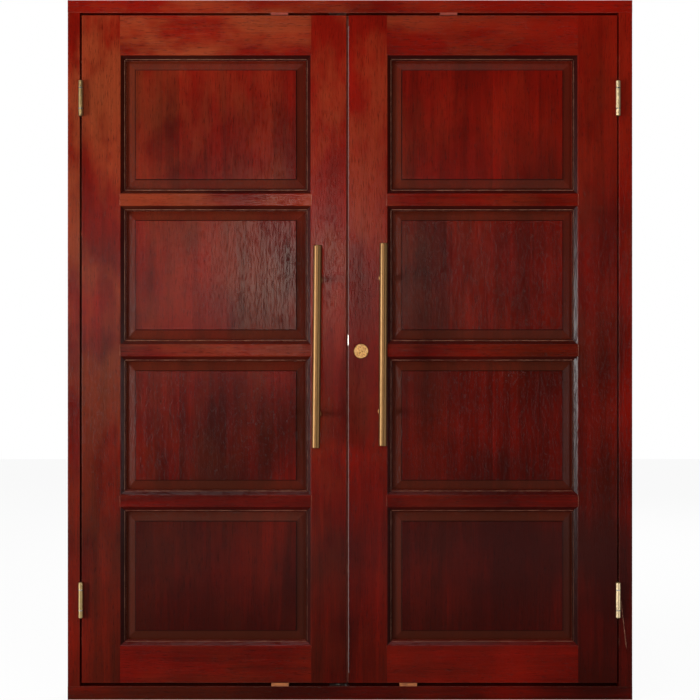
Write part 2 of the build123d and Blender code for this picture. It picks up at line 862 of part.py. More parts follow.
with BuildPart() as hinge_pins:
    for x, y, z in hinge_spots:
        with Locations((x, y, z)):
            Cylinder(pin_r, hinge_h)
        for way in (-1, 1):
            with Locations(Plane((x, y, z + way * hinge_h / 2), z_dir=(0, 0, way))):
                Cylinder(pin_head_r, pin_head_t / 2, align=from_face)
            with Locations(Plane((x, y, z + way * (hinge_h + pin_head_t) / 2), z_dir=(0, 0, way))):
                Cone(pin_head_r, pin_head_r - pin_head_t / 2, pin_head_t / 2, align=from_face)
save(hinge_pins, "hinge_pins")

with BuildPart() as hinge_bearings:
    for x, y, z in hinge_spots:
        for number in (1, knuckle_count - 1):
            with Locations((x, y, z - hinge_h / 2 + number * hinge_h / knuckle_count)):
                Cylinder(knuckle_r - bearing_inset, bearing_t)
                Cylinder(pin_r + pin_play, bearing_t, mode=Mode.SUBTRACT)
save(hinge_bearings, "hinge_bearings")


# Pull bars, their posts and the bolts that hold them through the leaf
def pull(leaf):
    """A leaf's pull bar with its posts and bolts."""
    middle_x, middle_z, lean = pull_data(leaf)
    bar_y = face_y - bar_off
    bar_plane = Plane(
        (middle_x, bar_y, middle_z), x_dir=(0, 1, 0), z_dir=(math.sin(lean), 0, math.cos(lean))
    )
    with BuildPart() as bar:
        with Locations(bar_plane):
            Cylinder(bar_r, bar_l)
        fillet(bar.edges().filter_by(GeomType.CIRCLE), radius=bar_end_round)
    save(bar, f"{leaf.name}_pull_bar")

    with BuildPart() as posts:
        for x, z in post_spots(leaf):
            cut_round(post_rose_r, x, z, (face_y - post_rose_t, face_y), Mode.ADD)
            cut_round(post_r, x, z, (bar_y, face_y - post_rose_t), Mode.ADD)
        chamfer(
            posts.edges().filter_by(GeomType.CIRCLE).filter_by(lambda e: abs(e.radius - post_rose_r) < 0.01)
            .filter_by(lambda e: e.center().Y < face_y - post_rose_t / 2),
            length=post_rose_t / 3,
        )
        with Locations(bar_plane):
            Cylinder(bar_r, bar_l, mode=Mode.SUBTRACT)
        for x, z in post_spots(leaf):
            cut_round(pull_bolt_r + joint_play / 2, x, z, (face_y - pull_bolt_grip - 1, face_y + 1))
    save(posts, f"{leaf.name}_pull_posts")

    with BuildPart() as fixings:
        for x, z in post_spots(leaf):
            cut_round(pull_bolt_r, x, z, (face_y - pull_bolt_grip, back_y), Mode.ADD)
            cut_round(pull_cap_r, x, z, (back_y, back_y + pull_cap_t), Mode.ADD)
        chamfer(
            fixings.edges().filter_by(GeomType.CIRCLE)
            .filter_by(lambda e: e.center().Y > back_y + pull_cap_t / 2),
            length=pull_cap_t / 3,
        )
    save(fixings, f"{leaf.name}_pull_fixings")


pull(left)
pull(right)


# Lock in the right leaf, and its strike in the left one
def edge_plate(leaf, mid_z, height):
    """An edge plate with its two screw holes, in the current piece."""
    half_w = edge_plate_w / 2
    block(edge_plate_x(leaf), (mid_y - half_w, mid_y + half_w), (mid_z - height / 2, mid_z + height / 2))
    cut_screws(edge_screw_places(leaf, mid_z, height))


def bolt_hole(leaf):
    """The hole for the deadbolt in an edge plate."""
    span = (leaf.x_from_meeting(0), leaf.x_from_meeting(2 * (plate_in + edge_plate_t)))
    block(span, grown(bolt_y, bolt_play), grown(bolt_z_pair, bolt_play), Mode.SUBTRACT)


with BuildPart() as lock_forend:
    edge_plate(right, strike_mid_z, forend_h)
    bolt_hole(right)
save(lock_forend, "lock_forend")

with BuildPart() as lock_case:
    block(case_x, case_y, case_z)
    block(grown(case_x, -case_wall), grown(case_y, -case_wall), grown(case_z, -case_wall), Mode.SUBTRACT)
    extrude(profile_outline(profile_play), amount=through, both=True, mode=Mode.SUBTRACT)
    front_wall = (case_x[0] - 1, case_x[0] + case_wall + 1)
    block(front_wall, grown(bolt_y, bolt_play), grown(bolt_z_pair, bolt_play), Mode.SUBTRACT)
save(lock_case, "lock_case")

bolt_tip = right.x_from_meeting(-bolt_nose)
with BuildPart() as deadbolt:
    block((bolt_tip, bolt_tip + bolt_head_l), bolt_y, bolt_z_pair)
    chamfer(deadbolt.edges().sort_by(Axis.X)[:4], length=bolt_play)
    tail_foot = plug_z + cam_r + tail_cam_gap
    tail_x = (bolt_tip + bolt_head_l, bolt_tip + bolt_head_l + bolt_tail_l)
    block(tail_x, bolt_y, (tail_foot, bolt_z_pair[1]))
save(deadbolt, "deadbolt")

cylinder_y = (face_y - rose_t - cylinder_proud, back_y + rose_t + cylinder_proud)
cam_y = (mid_y - cam_t / 2, mid_y + cam_t / 2)
with BuildPart() as lock_cylinder:
    extrude(profile_outline(), amount=through, both=True)
    for end, way in ((cylinder_y[0], -1), (cylinder_y[1], 1)):
        block(
            (lock_x - rose_r, lock_x + rose_r), (end, end + way * through),
            (plug_z - rose_r - profile_h, plug_z + rose_r), Mode.SUBTRACT,
        )
    cut_round(plug_r + plug_play, lock_x, plug_z, grown(cylinder_y, 1))
    cut_round(cam_r + cam_play, lock_x, plug_z, grown(cam_y, cam_play))
save(lock_cylinder, "lock_cylinder")

with BuildPart() as lock_plug:
    cut_round(plug_r, lock_x, plug_z, cylinder_y, Mode.ADD)
    cut_round(profile_r, lock_x, plug_z, cam_y, Mode.ADD)
    block((lock_x - cam_w / 2, lock_x + cam_w / 2), cam_y, (plug_z - cam_r + 1, plug_z))
    for end, way in ((cylinder_y[0], 1), (cylinder_y[1], -1)):
        block(
            (lock_x - key_slot_w / 2, lock_x + key_slot_w / 2), (end - way, end + way * key_slot_d),
            (plug_z - key_slot_h / 2, plug_z + key_slot_h / 2), Mode.SUBTRACT,
        )
save(lock_plug, "lock_plug")

with BuildPart() as lock_roses:
    for y_pair in ((face_y - rose_t, face_y), (back_y, back_y + rose_t)):
        cut_round(rose_r, lock_x, rose_z, y_pair, Mode.ADD)
    chamfer(
        lock_roses.edges().filter_by(GeomType.CIRCLE)
        .filter_by(lambda e: not face_y - 0.1 < e.center().Y < back_y + 0.1),
        length=rose_edge,
    )
    extrude(profile_outline(profile_play / 2), amount=through, both=True, mode=Mode.SUBTRACT)
    cut_screws(rose_screw_places())
save(lock_roses, "lock_roses")

right_screws = hinge_screw_places(right, False) + rose_screw_places()
right_screws += edge_screw_places(right, strike_mid_z, forend_h)
screw_group(right_screws, "right_leaf_screws")

with BuildPart() as strike_plate:
    edge_plate(left, strike_mid_z, forend_h)
    bolt_hole(left)
save(strike_plate, "strike_plate")

# Flush bolts
plate_slot_w = thumb_w + 2 * joint_play


def thumb_range(way):
    """Height range of a thumb piece at rest, with the leaf's end it belongs to."""
    end = leaf_top if way > 0 else leaf_bottom
    middle = end - way * (rod_start + thumb_up)
    return middle - thumb_h / 2, middle + thumb_h / 2


with BuildPart() as flush_bolt_plates:
    for way, mid_z in zip((1, -1), flush_mids):
        edge_plate(left, mid_z, flush_plate_h)
        low, high = thumb_range(way)
        slot_z = grown((min(low, low + way * rod_travel), max(high, high + way * rod_travel)), joint_play)
        slot_x = (left.x_from_meeting(0), left.x_from_meeting(2 * (plate_in + edge_plate_t)))
        block(slot_x, (mid_y - plate_slot_w / 2, mid_y + plate_slot_w / 2), slot_z, Mode.SUBTRACT)
save(flush_bolt_plates, "flush_bolt_plates")

for way, rod_label in ((1, "top_flush_rod"), (-1, "bottom_flush_rod")):
    rod_end = leaf_top - rod_start if way > 0 else leaf_bottom + rod_start
    with BuildPart() as rod:
        with Locations((rod_x, mid_y, rod_end - way * rod_l / 2)):
            Cylinder(rod_r, rod_l)
        chamfer(rod.edges().filter_by(GeomType.CIRCLE), length=bolt_play)
        thumb_x = (rod_x, left.x_from_meeting(plate_in - thumb_proud))
        block(thumb_x, (mid_y - thumb_w / 2, mid_y + thumb_w / 2), thumb_range(way))
    save(rod, rod_label)

left_screws = hinge_screw_places(left, False) + edge_screw_places(left, strike_mid_z, forend_h)
for mid_z in flush_mids:
    left_screws += edge_screw_places(left, mid_z, flush_plate_h)
screw_group(left_screws, "left_leaf_screws")

with BuildPart() as meeting_seal:
    carrier_front = left.meeting_x(seal_y)
    block(
        (carrier_front, left.x_from_meeting(seal_carrier_d)),
        (seal_y - seal_carrier_w / 2, seal_y + seal_carrier_w / 2),
        (leaf_bottom + seal_end, leaf_top - seal_end),
    )
    block(
        (carrier_front, right.meeting_edge - seal_tip_gap),
        (seal_y - seal_pile_t / 2, seal_y + seal_pile_t / 2),
        (leaf_bottom + seal_end, leaf_top - seal_end),
    )
save(meeting_seal, "meeting_seal")
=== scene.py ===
import math
import random

import bmesh
import bpy
from mathutils import Matrix, Vector


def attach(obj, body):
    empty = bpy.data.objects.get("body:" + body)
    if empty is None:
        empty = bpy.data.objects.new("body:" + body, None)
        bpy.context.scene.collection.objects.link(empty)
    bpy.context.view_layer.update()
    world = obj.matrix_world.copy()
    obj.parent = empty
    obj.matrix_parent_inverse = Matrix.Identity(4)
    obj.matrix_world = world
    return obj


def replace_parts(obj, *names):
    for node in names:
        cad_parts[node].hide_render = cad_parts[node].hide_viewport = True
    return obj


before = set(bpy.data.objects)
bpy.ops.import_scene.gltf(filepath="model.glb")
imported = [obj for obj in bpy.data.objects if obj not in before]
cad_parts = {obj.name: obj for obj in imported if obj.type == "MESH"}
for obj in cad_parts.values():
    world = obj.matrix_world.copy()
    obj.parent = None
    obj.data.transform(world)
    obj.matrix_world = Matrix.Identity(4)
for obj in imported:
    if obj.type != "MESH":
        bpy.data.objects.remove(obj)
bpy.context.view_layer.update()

# Places on the doors, in metres, as the part has them
door_height = 2.1
frame_face_y = -0.048
hinge_axis_y = -0.05565
left_axis_x = -0.80625
right_axis_x = 0.803
hinge_heights = (0.301, 1.804)
hinge_length = 0.102
knuckle_length = 0.0204

# The lock's rose and its profile cylinder, whose web is the narrow part under the plug
lock_x = 0.0333
rose_z = 1.0465
plug_z = 1.0545
plug_joint_r = 0.0066
profile_r = 0.0085
web_r = 0.005
web_reach = 0.0195

# Depths from a leaf's middle: its face, and the foot and the face of a panel's field
leaf_mid_y = -0.025
leaf_face = 0.022
field_foot = 0.0128
field_face = 0.0158

# The stiles' edges get wear and painted highlights between these heights, clear of the top and bottom
# rails
wear_and_highlight_foot = 0.170
wear_and_highlight_head = 1.925


class Wire:
    """One socket of a finish. Arithmetic on it adds Math nodes."""

    def __init__(self, finish, socket):
        self.finish = finish
        self.socket = socket

    def maths(self, operation, *values):
        return self.finish.add("ShaderNodeMath", {"operation": operation}, dict(enumerate(values)))

    def __add__(self, other):
        return self.maths("ADD", self, other)

    __radd__ = __add__

    def __mul__(self, other):
        return self.maths("MULTIPLY", self, other)

    __rmul__ = __mul__

    def __sub__(self, other):
        return self.maths("SUBTRACT", self, other)

    def __rsub__(self, other):
        return self.maths("SUBTRACT", other, self)

    def __truediv__(self, other):
        return self.maths("DIVIDE", self, other)

    def __rtruediv__(self, other):
        return self.maths("DIVIDE", other, self)

    def __pow__(self, other):
        return self.maths("POWER", self, other)

    def __rpow__(self, other):
        return self.maths("POWER", other, self)

    def __gt__(self, other):
        return self.maths("GREATER_THAN", self, other)

    def __lt__(self, other):
        return self.maths("LESS_THAN", self, other)

    def larger(self, other):
        return self.maths("MAXIMUM", self, other)

    def smaller(self, other):
        return self.maths("MINIMUM", self, other)

    def floor(self):
        return self.maths("FLOOR", self)

    def wave(self):
        return self.maths("SINE", self)

    def size(self):
        return self.maths("ABSOLUTE", self)

    def ramp(self, low, high):
        """0 below low, 1 above high and smooth between them."""
        return self.finish.add(
            "ShaderNodeMapRange",
            {"interpolation_type": "SMOOTHSTEP", "clamp": True},
            {"Value": self, "From Min": low, "From Max": high},
        )


class Finish:
    """The nodes of a material or of the world, under construction."""

    def __init__(self, owner):
        self.owner = owner
        owner.use_nodes = True
        self.tree = owner.node_tree
        self.tree.nodes.clear()

    def add(self, kind, settings, inputs, output=0):
        """Any node: its settings, then its sockets' values or links, and the output that is used."""
        node = self.tree.nodes.new(kind)
        for name, value in settings.items():
            setattr(node, name, value)
        for name, value in inputs.items():
            if isinstance(value, Wire):
                self.tree.links.new(value.socket, node.inputs[name])
            else:
                node.inputs[name].default_value = value
        return Wire(self, node.outputs[output] if node.outputs else None)

    def place(self):
        return self.add("ShaderNodeTexCoord", {}, {}, "Object")

    def part_of(self, place, axis):
        return self.add("ShaderNodeSeparateXYZ", {}, {0: place}, "XYZ".index(axis))

    def stretched(self, place, scale, shift=(0.0, 0.0, 0.0)):
        return self.add("ShaderNodeMapping", {}, {"Vector": place, "Scale": scale, "Location": shift})

    def noise(self, place, scale=1.0, detail=2.0, roughness=0.5, distortion=0.0):
        inputs = {
            "Vector": place,
            "Scale": scale,
            "Detail": detail,
            "Roughness": roughness,
            "Distortion": distortion,
        }
        return self.add("ShaderNodeTexNoise", {}, inputs)

    def fibres(self, place, grain, size, detail=3.0, roughness=0.6, twist=0.0, shift=(0.0, 0.0, 0.0)):
        """Noise whose marks have this size across the grain and along it."""
        across, along = size
        scale = tuple(1 / (along if axis == grain else across) for axis in "XYZ")
        return self.noise(self.stretched(place, scale, shift), 1.0, detail, roughness, twist)

    def blend(self, amount, first, second):
        """Mix two colours, given as colours or as links."""
        return self.add("ShaderNodeMix", {"data_type": "RGBA"}, {0: amount, 6: first, 7: second}, 2)

    def edges(self, radius, grain=None):
        """1 on sharp edges and 0 on flat faces, and where a grain is given 0 at the ends too."""
        rounded = self.add("ShaderNodeBevel", {"samples": 6}, {"Radius": radius})
        flat = self.add("ShaderNodeNewGeometry", {}, {}, "Normal")
        same = self.add(
            "ShaderNodeVectorMath", {"operation": "DOT_PRODUCT"}, {0: rounded, 1: flat}, "Value"
        )
        sharp = (1.0 - same).ramp(0.02, 0.22)
        if grain:
            sharp = sharp * (1.0 - self.part_of(rounded, grain).size().ramp(0.1, 0.3))
        return sharp

    def lock_joint(self, spot):
        """1 along the joint between the cylinder's plug and body, and between the body and the rose."""
        across = self.part_of(spot, "X") - lock_x
        up = self.part_of(spot, "Z") - plug_z
        from_plug = (across ** 2.0 + up ** 2.0) ** 0.5
        web = up.larger(-web_reach).smaller(0.0)
        from_web = (across ** 2.0 + (up - web) ** 2.0) ** 0.5
        outline = (from_plug - profile_r).smaller(from_web - web_r) - 0.0001
        body_line = 1.0 - outline.size().ramp(0.0001, 0.0007)
        plug_line = 1.0 - (from_plug - plug_joint_r).size().ramp(0.0001, 0.0005)
        return body_line.larger(plug_line)

    def bumped(self, height, depth, strength=1.0):
        return self.add(
            "ShaderNodeBump", {}, {"Height": height, "Distance": depth, "Strength": strength}
        )

    def close(self, shader, kind="ShaderNodeOutputMaterial"):
        """Send the last shader to the surface and give back what the nodes belong to."""
        self.add(kind, {}, {"Surface": shader})
        return self.owner

    def surface(self, inputs):
        """Close the finish with its main shader."""
        return self.close(self.add("ShaderNodeBsdfPrincipled", {}, inputs))


def new_finish(name):
    return Finish(bpy.data.materials.new(name))


def colour(red, green, blue):
    """A colour as seen on screen, from 0 to 255, turned into the shader's own."""
    def shade(value):
        value /= 255
        return value / 12.92 if value <= 0.04045 else ((value + 0.055) / 1.055) ** 2.4
    return (shade(red), shade(green), shade(blue), 1.0)


white = (1.0, 1.0, 1.0, 1.0)

# Lacquer colours, with those used for painted shade, painted sheen and painted edge highlights
lacquer_light = colour(168, 22, 8)
lacquer_mid = colour(124, 14, 4)
lacquer_dark = colour(44, 5, 2)
# Dark for open pores, also the painted shadow line on a panel field's step
pore_and_shade_dark = colour(20, 2, 1)
# A brown for faded lacquer, also used as a painted sheen at the top left
faded_and_sheen_brown = colour(138, 66, 36)
# Light wood on worn arrises, also used as a painted edge highlight
bare_wood_and_highlight = colour(222, 160, 132)
# Painted shade in the mouldings
painted_shade_dark = colour(26, 4, 2)
# Painted shade on a panel's sunk margin
margin_shade_brown = colour(70, 32, 20)

# Brass colours
post_tint = colour(176, 136, 86)
bar_tint = colour(110, 82, 52)
screw_tint = colour(150, 118, 76)
old_hinge_tint = colour(166, 140, 96)
newer_hinge_tint = colour(216, 192, 152)
brass_tarnish = colour(112, 72, 40)
brass_rubbed = colour(250, 226, 190)
key_grime = colour(40, 22, 10)

# The size of each mark, in metres across the grain and along it
figure_size = (0.035, 0.55)
streak_size = (0.0035, 0.16)
pore_size = (0.0022, 0.026)
patch_size = (0.2, 0.4)
fibre_size = (0.0012, 0.02)
steel_line_size = (0.0003, 0.02)
brass_line_size = (0.00035, 0.03)
bar_line_size = (0.00035, 1.5)

# How far each kind of wear reaches from an edge; on the wood it also carries painted edge highlights
wood_edge_wear_and_light = 0.003
brass_wear = 0.0009
plating_wear = 0.0008
paint_wear = 0.0012


def lacquered_wood(
    name, grain, seed, depth=0.0, boards=None, rub=0.0, edge_tone=bare_wood_and_highlight, fade_and_sheen=1.0,
    moulding_shade=0.9, low_moulding_shade=0.8,
):
    """Hardwood under a red lacquer that is lighter and browner towards the top, partly from fading and
    partly as painted light from above and a painted sheen.

    A larger depth is darker and a larger rub is glossier. In a panel, boards are the place of one
    joint between boards and the boards' width. The fade strength is how strong the faded patches,
    partly a painted sheen, are. The two moulding strengths are how dark the painted shade in the
    mouldings is, at the top and at the foot of the doors.
    """
    finish = new_finish(name)
    spot = finish.place()
    along_x = finish.part_of(spot, "X")
    height = finish.part_of(spot, "Z")
    shift = (seed * 1.37, seed * 0.71, seed * 2.13)
    board_tone = 0.0
    grain_spot = spot
    if boards:
        start, width = boards
        number = ((along_x - start) / width).floor()
        random_tone = finish.add(
            "ShaderNodeTexWhiteNoise", {"noise_dimensions": "1D"}, {"W": number + seed}
        )
        board_tone = random_tone - 0.5
        offset = finish.add("ShaderNodeCombineXYZ", {}, {"Y": number * 0.61, "Z": number * 1.73})
        grain_spot = finish.add("ShaderNodeVectorMath", {"operation": "ADD"}, {0: spot, 1: offset})

    # Tone: the figure, the streaks and a slow cloud, lighter towards the top, partly fading and partly
    # painted light from above
    broad = finish.fibres(grain_spot, grain, figure_size, 3.0, 0.5, 0.4, shift)
    figure = (broad * 46.0).wave() * 0.5 + 0.5
    streak = finish.fibres(grain_spot, grain, streak_size, 5.0, shift=shift)
    pore = finish.fibres(grain_spot, grain, pore_size, 3.0, shift=shift)
    cloud = finish.noise(spot, 3.2, 3.0, 0.5)
    lift = height / door_height
    tone = lift * 0.4 + broad * 0.4 + streak * 0.2 + figure * 0.03 + cloud * 0.7 + board_tone * 0.09
    tone = tone - 0.78 - depth
    light = finish.blend(tone.ramp(-0.25, 0.58), lacquer_dark, lacquer_mid)
    light = finish.blend(tone.ramp(0.35, 0.9), light, lacquer_light)

    # Faded brown patches, most of them at the top left, partly real fading and partly a painted sheen,
    # and open pores
    to_left = (0.0 - along_x).ramp(-0.9, 0.8)
    patch = finish.fibres(spot, grain, patch_size, 4.0, shift=shift)
    faded_and_sheen = patch.ramp(0.42, 0.62) * (lift.ramp(0.1, 0.9) * 0.8 + 0.1) * (to_left * 0.75 + 0.12)
    light = finish.blend(faded_and_sheen * (0.3 + streak * 0.6) * fade_and_sheen, light, faded_and_sheen_brown)
    pores = (0.43 - pore).ramp(0.0, 0.09) * 0.48
    light = finish.blend(pores, light, pore_and_shade_dark)

    # Painted shade: a darker brown on a panel's sunk margin and a painted shadow line on its field's
    # step, or, stronger at the top, in a stile's or rail's moulding but not on a leaf's outer edge
    from_middle = (finish.part_of(spot, "Y") - leaf_mid_y).size()
    if boards:
        margin = 1.0 - from_middle.ramp(field_foot - 0.0002, field_foot + 0.0004)
        over_foot = from_middle.ramp(field_foot - 0.0010, field_foot - 0.0002)
        over_face = from_middle.ramp(field_face - 0.0008, field_face)
        light = finish.blend(margin * 0.5, light, margin_shade_brown)
        light = finish.blend(over_foot * (1.0 - over_face) * 0.75, light, pore_and_shade_dark)
    else:
        facing = finish.add("ShaderNodeNewGeometry", {}, {}, "Normal")
        sideways = finish.part_of(facing, "X").size()
        upright = finish.part_of(facing, "Z").size()
        outer_edge = sideways.larger(upright).ramp(0.93, 0.98)
        moulding = 1.0 - from_middle.ramp(leaf_face - 0.0020, leaf_face - 0.0008)
        painted_moulding_shade = moulding * (1.0 - outer_edge) * (lift * (moulding_shade - low_moulding_shade) + low_moulding_shade)
        light = finish.blend(painted_moulding_shade, light, painted_shade_dark)

    # Worn arrises, lighter towards the top, partly real wear and partly painted highlights; on the
    # panels the same edges are darkened instead
    broken = finish.noise(spot, 38.0, 4.0, 0.6).ramp(0.38, 0.62) * 0.5 + 0.4
    edge_wear_and_painted_light = finish.edges(wood_edge_wear_and_light, grain) * broken
    if grain == "Z" and not boards:
        over_rail = height.ramp(wear_and_highlight_foot - 0.020, wear_and_highlight_foot)
        under_rail = 1.0 - height.ramp(wear_and_highlight_head, wear_and_highlight_head + 0.015)
        edge_wear_and_painted_light = edge_wear_and_painted_light * over_rail * under_rail
    light = finish.blend(edge_wear_and_painted_light * (lift * 0.45 + 0.45), light, edge_tone)
    rough = 0.14 + cloud * 0.06 + streak * 0.1 + edge_wear_and_painted_light * 0.2 - rub
    relief = streak * 0.6 + pore.ramp(0.32, 0.5)
    normal = finish.bumped(relief, 0.0003, 0.8)
    return finish.surface({
        "Base Color": light,
        "Roughness": rough,
        "Normal": normal,
        "IOR": 1.4,
        "Specular IOR Level": 0.1,
    })


def bare_packing(name):
    """Sawn slips of wood: red-stained at the top, raw and orange-brown at the foot."""
    finish = new_finish(name)
    spot = finish.place()
    fibre = finish.fibres(spot, "X", fibre_size, 4.0)
    saw = finish.noise(finish.stretched(spot, (1400.0, 60.0, 60.0)), 1.0, 2.0, 0.5)
    low = finish.blend(fibre.ramp(0.3, 0.75), colour(92, 42, 16), colour(178, 104, 52))
    high = finish.blend(fibre.ramp(0.3, 0.75), colour(92, 22, 12), colour(156, 58, 36))
    tint = finish.blend(finish.part_of(spot, "Z") > 1.0, low, high)
    normal = finish.bumped(fibre + saw * 0.5, 0.0003, 0.8)
    return finish.surface({"Base Color": tint, "Roughness": 0.72 + fibre * 0.15, "Normal": normal})


def brushed_brass(name, grain, tint, rough, line_depth=0.00004, line_size=brass_line_size, pitted=0.0):
    """Lacquered brass with fine lines along one way, darker blooms and brighter rubbed edges."""
    finish = new_finish(name)
    spot = finish.place()
    lines = finish.fibres(spot, grain, line_size)
    bloom = finish.noise(spot, 70.0, 5.0, 0.62)
    spots = finish.noise(spot, 620.0, 2.0, 0.5).ramp(0.7, 0.8)
    aged = bloom.ramp(0.46, 0.8) * 0.25 + spots * 0.2
    light = finish.blend(aged, tint, brass_tarnish)
    rubbed = finish.edges(brass_wear) * 0.45
    light = finish.blend(rubbed, light, brass_rubbed)
    if pitted:
        pits = finish.noise(spot, 210.0, 5.0, 0.7).ramp(0.46, 0.66)
        pits = pits.larger(finish.lock_joint(spot)) * pitted
        light = finish.blend(pits, light, key_grime)
        aged = aged + pits * 0.5
    normal = finish.bumped(lines, line_depth, 0.6)
    return finish.surface({
        "Base Color": light,
        "Metallic": 1.0,
        "Roughness": rough + lines * 0.1 + aged * 0.16 - rubbed * 0.1,
        "Normal": normal,
    })


def plated_metal(name, grain, tint, rough):
    """Plated or ground steel, with draw lines and grey handling marks."""
    finish = new_finish(name)
    spot = finish.place()
    lines = finish.fibres(spot, grain, steel_line_size)
    marks = finish.noise(spot, 110.0, 4.0, 0.6).ramp(0.5, 0.75)
    light = finish.blend(marks * 0.5, tint, colour(120, 122, 116))
    rubbed = finish.edges(plating_wear)
    light = finish.blend(rubbed * 0.4, light, colour(240, 244, 238))
    normal = finish.bumped(lines, 0.00003, 0.6)
    return finish.surface({
        "Base Color": light,
        "Metallic": 1.0,
        "Roughness": rough + marks * 0.16 + lines * 0.08,
        "Normal": normal,
    })


def case_paint(name):
    """Dark stoved paint on pressed steel, chipped along its folds."""
    finish = new_finish(name)
    spot = finish.place()
    orange_peel = finish.noise(spot, 900.0, 2.0, 0.5)
    dust = finish.noise(spot, 60.0, 4.0, 0.6)
    chipped = finish.edges(paint_wear) * dust.ramp(0.45, 0.6)
    light = finish.blend(dust.ramp(0.4, 0.8) * 0.3, colour(34, 34, 37), colour(74, 68, 64))
    light = finish.blend(chipped, light, colour(150, 152, 154))
    normal = finish.bumped(orange_peel, 0.00005, 0.7)
    return finish.surface({
        "Base Color": light,
        "Metallic": chipped * 0.9,
        "Roughness": 0.4 + dust * 0.2,
        "Normal": normal,
    })


def brush_pile(name):
    """Dense red-brown nylon pile, dusty in places."""
    finish = new_finish(name)
    spot = finish.place()
    hairs = finish.noise(finish.stretched(spot, (120.0, 2600.0, 2600.0)), 1.0, 2.0, 0.5)
    dust = finish.noise(spot, 45.0, 4.0, 0.6).ramp(0.45, 0.8)
    tint = finish.blend(hairs.ramp(0.3, 0.7), colour(60, 18, 10), colour(120, 48, 32))
    tint = finish.blend(dust * 0.4, tint, colour(132, 92, 74))
    normal = finish.bumped(hairs, 0.0003, 0.9)
    return finish.surface({"Base Color": tint, "Roughness": 0.82 + hairs * 0.1, "Normal": normal})


def dress(node, material):
    """Give a CAD node its material."""
    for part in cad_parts[node].material_slots:
        part.material = material


hinge_brass = brushed_brass("hinge brass", "Z", old_hinge_tint, 0.26)
newer_brass = brushed_brass("newer hinge brass", "Z", newer_hinge_tint, 0.3)
bar_brass = brushed_brass("pull bar satin brass", "Z", bar_tint, 0.38, 0.0, bar_line_size)
post_brass = brushed_brass("pull post brass", "Y", post_tint, 0.26)
lock_brass = brushed_brass("lock brass", "X", post_tint, 0.34, line_depth=0.00003, pitted=0.9)
screw_brass = brushed_brass("screw brass", "X", screw_tint, 0.34)
nickel = plated_metal("nickel plate", "Z", colour(210, 207, 200), 0.24)
race_steel = plated_metal("bearing steel", "X", colour(190, 188, 184), 0.2)
dark_case = case_paint("lock case paint")
dark_pile = brush_pile("brush pile")

# How dark each stile and rail is
stile_depths = {
    ("left", "hinge"): 0.03,
    ("left", "meeting"): -0.03,
    ("right", "hinge"): 0.1,
    ("right", "meeting"): -0.05,
}
rail_depths = {"top": 0.02, "bottom": -0.17}
cross_rail_depth = 0.02
panel_depth = 0.12

# In each leaf's panels, the place of one joint between boards and the boards' width
panel_boards = {"left": (-0.655, 0.142), "right": (0.291, 0.138)}

seed = 0
for side in ("left", "right"):
    for number in range(1, 5):
        seed += 1
        lacquer = lacquered_wood(
            f"{side} panel {number} lacquer", "Z", seed, panel_depth, panel_boards[side],
            edge_tone=pore_and_shade_dark, fade_and_sheen=0.4,
        )
        dress(f"{side}_panel_{number}", lacquer)
    for place in ("hinge", "meeting"):
        seed += 1
        lacquer = lacquered_wood(f"{side} {place} stile lacquer", "Z", seed, stile_depths[side, place])
        dress(f"{side}_{place}_stile", lacquer)
    for place in ("top", "bottom"):
        seed += 1
        lacquer = lacquered_wood(
            f"{side} {place} rail lacquer", "X", seed, rail_depths[place],
            fade_and_sheen=1.25, moulding_shade=0.95, low_moulding_shade=0.4,
        )
        dress(f"{side}_{place}_rail", lacquer)
    for number in range(1, 4):
        seed += 1
        lacquer = lacquered_wood(
            f"{side} cross rail {number} lacquer", "X", seed, cross_rail_depth,
            rub=0.06, moulding_shade=1.0, low_moulding_shade=0.3,
        )
        dress(f"{side}_cross_rail_{number}", lacquer)

frame_grains = {"head": "X", "sill": "X", "left_jamb": "Z", "right_jamb": "Z", "jamb_repair": "Z"}
for node, grain in frame_grains.items():
    seed += 1
    lacquer = lacquered_wood(
        node.replace("_", " ") + " lacquer", grain, seed, moulding_shade=0.0, low_moulding_shade=0.0
    )
    dress(node, lacquer)

dress("packers", bare_packing("packing slips"))
for side in ("left", "right"):
    for height in ("lower", "upper"):
        for half in ("frame", "leaf"):
            dress(f"{side}_{height}_hinge_{half}_plate", hinge_brass if side == "left" else newer_brass)
    dress(f"{side}_pull_bar", bar_brass)
    dress(f"{side}_pull_posts", post_brass)
    dress(f"{side}_pull_fixings", post_brass)
dress("hinge_pins", hinge_brass)
dress("lock_case", dark_case)
for node in ("lock_roses", "lock_cylinder", "lock_plug"):
    dress(node, lock_brass)
for node in (
    "lock_forend", "deadbolt", "strike_plate", "flush_bolt_plates", "flush_bolt_keeps",
    "top_flush_rod", "bottom_flush_rod",
):
    dress(node, nickel)


def finished_piece(shape, name, material, body):
    """Turn a bmesh into an object that rides on a body and takes its finish from a slot."""
    mesh = bpy.data.meshes.new(name)
    shape.to_mesh(mesh)
    shape.free()
    piece = bpy.data.objects.new(name, mesh)
    bpy.context.scene.collection.objects.link(piece)
    mesh.materials.append(material)
    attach(piece, body)
    return piece


def spun(outline, steps, closed):
    """A shape spun round Z from (radius, height) points, whose line may close on itself."""
    shape = bmesh.new()
    points = [shape.verts.new((across, 0.0, along)) for across, along in outline]
    next_points = points[1:] + points[:1] if closed else points[1:]
    lines = [shape.edges.new(pair) for pair in zip(points, next_points)]
    bmesh.ops.spin(
        shape, geom=points + lines, axis=(0, 0, 1), cent=(0, 0, 0), angle=math.tau, steps=steps,
        use_merge=True,
    )
    bmesh.ops.remove_doubles(shape, verts=shape.verts, dist=1e-7)
    return shape


def join(whole, shape):
    """Add a shape to a larger one."""
    mesh = bpy.data.meshes.new("joined")
    shape.to_mesh(mesh)
    shape.free()
    whole.from_mesh(mesh)
    bpy.data.meshes.remove(mesh)


